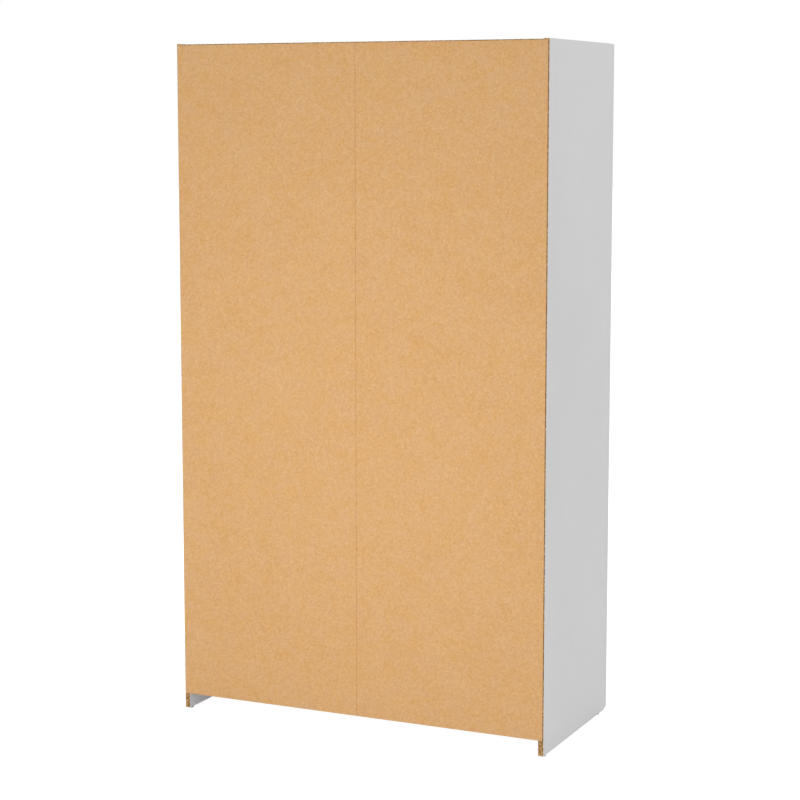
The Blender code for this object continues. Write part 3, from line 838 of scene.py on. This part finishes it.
def makeHingeScrews(door):
    fixed = bmesh.new()
    moving = bmesh.new()
    low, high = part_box(f"door_{door}")
    for height in hingeHeights:
        armLow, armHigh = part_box(f"hinge_{door}_{height}_arm")
        cupLow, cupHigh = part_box(f"hinge_{door}_{height}_cup")
        z = (cupLow.z + cupHigh.z) / 2
        way = 1 if (cupLow.x + cupHigh.x) < (low.x + high.x) else -1
        panelSide = armLow.x if way == 1 else armHigh.x
        plate = screws["plate"]
        for side in (-1, 1):
            x = panelSide + way * plate["plate"]
            place = (x, frontY + plate["fromFront"], z + side * plate["offset"])
            stamp(fixed, heads["plate"], place, (way, 0, 0))
        adjuster = screws["adjuster"]
        for fromFront, rise in zip(adjuster["fromFront"], adjuster["rise"]):
            stamp(fixed, heads["adjuster"], (panelSide + way * rise, frontY + fromFront, z), (way, 0, 0))
        cup = screws["cup"]
        hingeEdge = low.x if way == 1 else high.x
        for side in (-1, 1):
            place = (hingeEdge + way * cup["fromEdge"], doorInnerY + cup["flange"], z + side * cup["offset"])
            stamp(moving, heads["cup"], place, (0, 1, 0))
    handle = lowOf(f"handle_{door}")
    far = highOf(f"handle_{door}")
    for z in (handle.z + handleShape["radius"], far.z - handleShape["radius"]):
        stamp(moving, heads["handle"], ((handle.x + far.x) / 2, doorInnerY, z), (0, 1, 0))
    addPiece(f"hinge_screws_{door}", fixed, screwSteel, "carcass")
    addPiece(f"door_screws_{door}", moving, screwSteel, f"door_{door}")


for door in doorNames:
    makeHingeScrews(door)


def makeSocketScrews():
    bm = bmesh.new()
    spec = screws["socket"]
    for side, way in (("left", 1), ("right", -1)):
        low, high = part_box(f"rail_socket_{side}")
        x = (low.x if way == 1 else high.x) + way * spec["plate"]
        for step in (-1, 1):
            place = (x, (low.y + high.y) / 2, (low.z + high.z) / 2 + step * spec["offset"])
            stamp(bm, heads["socket"], place, (way, 0, 0))
    addPiece("rail_socket_screws", bm, screwSteel, "carcass")


makeSocketScrews()
print("screws made")


# shelf pins: a stem in the panel and a flat tongue under the shelf
pinShape = {
    "sides": 14,
    "radius": 0.0024,
    "stem": 0.0085,         # how far it reaches into the board
    "joined": 0.003,        # and out of it, into the tongue
    "stemDrop": 0.0026,     # under the shelf
    "tongue": (0.0100, 0.0080, 0.0016),
    "gap": 0.0001,
    "round": 0.0005,
    "inset": 0.060,
}


def pinMeshes():
    # the stem and the tongue, both lying along Z
    shape = pinShape
    stem = bmesh.new()
    addDisc(stem, shape["sides"], shape["radius"], shape["stem"] + shape["joined"])
    tongue = bmesh.new()
    bmesh.ops.create_cube(tongue, size=1.0)
    bmesh.ops.scale(tongue, vec=reversed(shape["tongue"]), verts=tongue.verts)
    bevelEdges(tongue, tongue.edges[:], shape["round"], 2)
    return toMesh(stem, "stem"), toMesh(tongue, "tongue")


def makeShelfPins(shelf):
    shape = pinShape
    bm = bmesh.new()
    under = lowOf(shelf).z
    long, _, thick = shape["tongue"]
    for faceX, way in ((partitionRight, 1), (innerX, -1)):
        for y in (frontY + shape["inset"], rearY - shape["inset"]):
            stemX = faceX - way * (shape["stem"] - shape["joined"]) / 2
            stamp(bm, pinStem, (stemX, y, under - shape["stemDrop"]), (way, 0, 0))
            tongueX = faceX + way * (long / 2 + shape["gap"] * 2)
            stamp(bm, pinTongue, (tongueX, y, under - shape["gap"] - thick / 2), (way, 0, 0))
    addPiece(f"{shelf}_pins", bm, screwSteel, "carcass")


pinStem, pinTongue = pinMeshes()
for number in range(1, 5):
    makeShelfPins(f"shelf_{number}")
print("shelf pins made")


# round covers over the cam fittings inside
coverShape = {"sides": 28, "radius": 0.0088, "height": 0.0010, "fromSide": 0.034, "fromEdge": 0.055}


def coverMesh():
    shape = coverShape
    bm = bmesh.new()
    addDisc(bm, shape["sides"], shape["radius"], shape["height"])
    bmesh.ops.translate(bm, verts=bm.verts, vec=(0, 0, shape["height"] / 2))
    rim = [e for e in bm.edges if all(v.co.z > shape["height"] * 0.9 for v in e.verts)]
    bevelEdges(bm, rim, shape["height"] * 0.6, 3)
    return toMesh(bm, "cover")


def makeCamCovers():
    shape = coverShape
    cover = coverMesh()
    inset = shape["fromSide"]
    hatUnder = lowOf("hat_shelf").z
    floorUnder = lowOf("bottom_panel").z
    down = (0, 0, -1)
    seats = {
        "top_panel_covers": (((inset - innerX, topUnder), (innerX - inset, topUnder)), down),
        "hat_shelf_covers": (((inset - innerX, hatUnder), (partitionLeft - inset, hatUnder)), down),
        "partition_covers": (
            ((partitionLeft, floorPanelTop + inset), (partitionLeft, topUnder - inset)), (-1, 0, 0)
        ),
        "bottom_panel_covers": (((inset - innerX, floorUnder), (innerX - inset, floorUnder)), down),
    }
    for name, (spots, direction) in seats.items():
        bm = bmesh.new()
        for x, z in spots:
            for y in (frontY + shape["fromEdge"], rearY - shape["fromEdge"]):
                stamp(bm, cover, (x, y, z), direction)
        addPiece(name, bm, capPlastic, "carcass")


makeCamCovers()
print("cam covers made")


# nails that hold the back to the rear edges of the boards
nailSpec = {
    "sides": 10,
    "radius": 0.0014,
    "height": 0.0004,
    "narrowing": 0.7,
    "fromOuter": 0.0070,
    "fromTop": 0.0100,
    "sidePitch": 0.150,
    "panelPitch": 0.130,
    "partitionPitch": 0.240,
}


def spread(low, high, pitch):
    count = max(2, round((high - low) / pitch) + 1)
    return [low + (high - low) * i / (count - 1) for i in range(count)]


def makeBackNails():
    spec = nailSpec
    bm = bmesh.new()
    addDisc(bm, spec["sides"], spec["radius"], spec["height"], spec["narrowing"])
    bmesh.ops.translate(bm, verts=bm.verts, vec=(0, 0, spec["height"] / 2))
    head = toMesh(bm, "nail")
    outer = highOf("side_right").x - spec["fromOuter"]
    top = highOf("side_right").z - spec["fromTop"]
    bottom = (lowOf("bottom_panel").z + floorPanelTop) / 2
    spots = [(x, z) for x in (-outer, outer) for z in spread(bottom, top, spec["sidePitch"])]
    spots += [(x, z) for z in (bottom, top) for x in spread(-outer, outer, spec["panelPitch"])[1:-1]]
    partitionMiddle = (partitionLeft + partitionRight) / 2
    spots += [(partitionMiddle, z) for z in spread(bottom, top, spec["partitionPitch"])[1:-1]]
    nails = bmesh.new()
    for x, z in spots:
        if x < outer or z < top - 0.001:
            stamp(nails, head, (x, backFaceY, z), (0, 1, 0))
    addPiece("back_nails", nails, nailBrass, "carcass")
    # the upper corner nail is the same as the rest but gets the whiter metal as a painted glint
    paintedGlintNail = bmesh.new()
    stamp(paintedGlintNail, head, (outer, backFaceY, top), (0, 1, 0))
    addPiece("back_nail_painted_glint", paintedGlintNail, paintedGlintZinc, "carcass")


makeBackNails()
print("back nails made")


# the thin skin of fibre left at the fold between the halves of the back
foldShape = {"halfWidth": 0.00045, "below": 0.0009, "thickness": 0.0010, "crease": 0.00015}


def makeFoldSkin():
    shape = foldShape
    low = lowOf("back_left").z
    high = highOf("back_left").z
    outside = backFaceY - shape["below"]
    bm = bmesh.new()
    bmesh.ops.create_cube(bm, size=1.0)
    size = (shape["halfWidth"] * 2, shape["thickness"], high - low - 0.002)
    bmesh.ops.scale(bm, vec=size, verts=bm.verts)
    bmesh.ops.translate(bm, verts=bm.verts, vec=(0, outside - shape["thickness"] / 2, (low + high) / 2))
    edges = [e for e in bm.edges if abs(e.verts[0].co.z - e.verts[1].co.z) > 0.1]
    bevelEdges(bm, edges, shape["crease"], 2)
    addPiece("back_fold_skin", bm, finishes["hardboard"], "carcass")


makeFoldSkin()
print("fold of the back made")


# pale floor, soft even light
studio = {
    "floorRadius": 40.0,
    "worldSeen": 1.0,
    "worldLeft": 0.98,          # light from -X
    "worldRight": 0.42,         # light from +X
    "floorSeen": 0.90,          # glow that keeps the floor white round the cabinet
    "floorLight": 0.20,         # glow that reaches the cabinet
    "floorColour": colour(0.35, 0.35, 0.35),
    "floorGrain": colour(0.37, 0.37, 0.37),
}


def makeFloor():
    bm = bmesh.new()
    bmesh.ops.create_circle(bm, cap_ends=True, segments=96, radius=studio["floorRadius"])
    mesh = toMesh(bm, "floor")
    floor = bpy.data.objects.new("floor", mesh)
    bpy.context.scene.collection.objects.link(floor)
    mat = bpy.data.materials.new("paleFloor")
    mat.use_nodes = True
    tree = mat.node_tree
    shader = tree.nodes["Principled BSDF"]
    coords = addNode(tree, "ShaderNodeTexCoord")
    grain = noise(tree, coords.outputs["Object"], 60.0, 3.0)
    shade = mixed(tree, grain, studio["floorColour"], studio["floorGrain"])
    tree.links.new(shade, shader.inputs["Base Color"])
    shader.inputs["Roughness"].default_value = 0.8
    shader.inputs["Specular IOR Level"].default_value = 0.1
    shader.inputs["Emission Color"].default_value = colour(1, 1, 1)
    seen = addNode(tree, "ShaderNodeLightPath").outputs["Is Camera Ray"]
    glow = remap(tree, seen, 0.0, 1.0, studio["floorLight"], studio["floorSeen"])
    tree.links.new(glow, shader.inputs["Emission Strength"])
    mesh.materials.append(mat)


def makeWorld():
    world = bpy.data.worlds.new("studio")
    world.use_nodes = True
    tree = world.node_tree
    tree.nodes.clear()
    path = addNode(tree, "ShaderNodeLightPath")
    seen = path.outputs["Is Camera Ray"]
    coords = addNode(tree, "ShaderNodeTexCoord")
    across = addNode(tree, "ShaderNodeSeparateXYZ", {0: coords.outputs["Generated"]}).outputs["X"]
    light = remap(tree, across, -1.0, 1.0, studio["worldLeft"], studio["worldRight"])
    strength = calc(tree, "MAXIMUM", light, calc(tree, "MULTIPLY", seen, studio["worldSeen"]))
    glow = addNode(tree, "ShaderNodeBackground", {"Color": colour(1.0, 1.0, 1.0), "Strength": strength})
    out = addNode(tree, "ShaderNodeOutputWorld")
    tree.links.new(glow.outputs[0], out.inputs["Surface"])
    bpy.context.scene.world = world


lamps = {
    "rearKey": {"place": (0.0, 2.25, 0.82), "size": 1.6, "power": 17.4},
    "frontKey": {"place": (0.7, -3.7, 1.6), "size": 2.0, "power": 33.0},
    "leftFill": {"place": (-3.4, -0.2, 0.7), "size": 1.8, "power": 5.0, "glossy": False},
    "rightFill": {"place": (3.4, -0.4, 0.9), "size": 1.8, "power": 9.0, "glossy": False},
    "topFill": {"place": (0.2, -0.4, 5.6), "size": 1.6, "power": 12.0},
}


def makeLamps():
    target = (cadBounds[0] + cadBounds[1]) / 2
    for name, spec in lamps.items():
        light = bpy.data.lights.new(name, "AREA")
        light.shape = "SQUARE"
        light.size = spec["size"]
        light.energy = spec["power"]
        lamp = bpy.data.objects.new(name, light)
        bpy.context.scene.collection.objects.link(lamp)
        lamp.location = spec["place"]
        lamp.rotation_euler = (target - lamp.location).to_track_quat("-Z", "Y").to_euler()
        lamp.visible_camera = False
        lamp.visible_glossy = spec.get("glossy", True)


cameraView = {
    "place": (-2.3282, 4.9928, 1.6210),
    "heading": 24.935,      # degrees off the cabinet's depth axis
    "tilt": 7.145,          # degrees below level
    "lens": 92.69,
    "lift": -0.035,
}


def makeCamera():
    spec = cameraView
    data = bpy.data.cameras.new("camera")
    data.lens = spec["lens"]
    data.sensor_width = 36.0
    data.shift_y = spec["lift"]
    data.clip_end = 200.0
    camera = bpy.data.objects.new("camera", data)
    bpy.context.scene.collection.objects.link(camera)
    camera.location = spec["place"]
    heading = math.radians(spec["heading"])
    tilt = math.radians(spec["tilt"])
    level = math.cos(tilt)
    ahead = Vector((math.sin(heading) * level, -math.cos(heading) * level, -math.sin(tilt)))
    camera.rotation_euler = ahead.to_track_quat("-Z", "Y").to_euler()
    bpy.context.scene.camera = camera


makeFloor()
makeWorld()
makeLamps()
makeCamera()
bpy.context.scene.view_settings.view_transform = "Standard"
bpy.context.scene.view_settings.look = "None"
print("floor, light and camera set")

bpy.context.view_layer.update()
